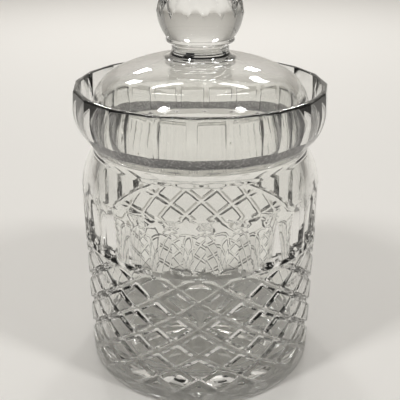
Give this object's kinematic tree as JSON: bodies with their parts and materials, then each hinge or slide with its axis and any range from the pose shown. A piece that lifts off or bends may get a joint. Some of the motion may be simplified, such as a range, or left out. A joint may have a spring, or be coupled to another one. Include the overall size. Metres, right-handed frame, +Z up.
{
  "type": "biscuit jar",
  "caption": "Round cut-glass jar with a cupped collar and a domed lid with a facet-cut knob that lifts off.",
  "frame": {"origin": "centre of the base, on the plane that the jar stands on", "axes": "+Z up along the jar's axis, front of the jar towards -Y, +X to the right seen from the front"},
  "size_m": [0.129, 0.129, 0.206],
  "materials": {
    "crystal": "clear polished lead crystal, cut outside, with ground seat rings"
  },
  "bodies": {
    "jar": {"jar": "crystal"},
    "lid": {"lid": "crystal", "lid_knob": "crystal"}
  },
  "joints": [
    {"name": "lid_lift", "type": "slide", "parent": "jar", "child": "lid", "axis": [0, 0, 1], "range_m": [0, 0.12]}
  ]
}
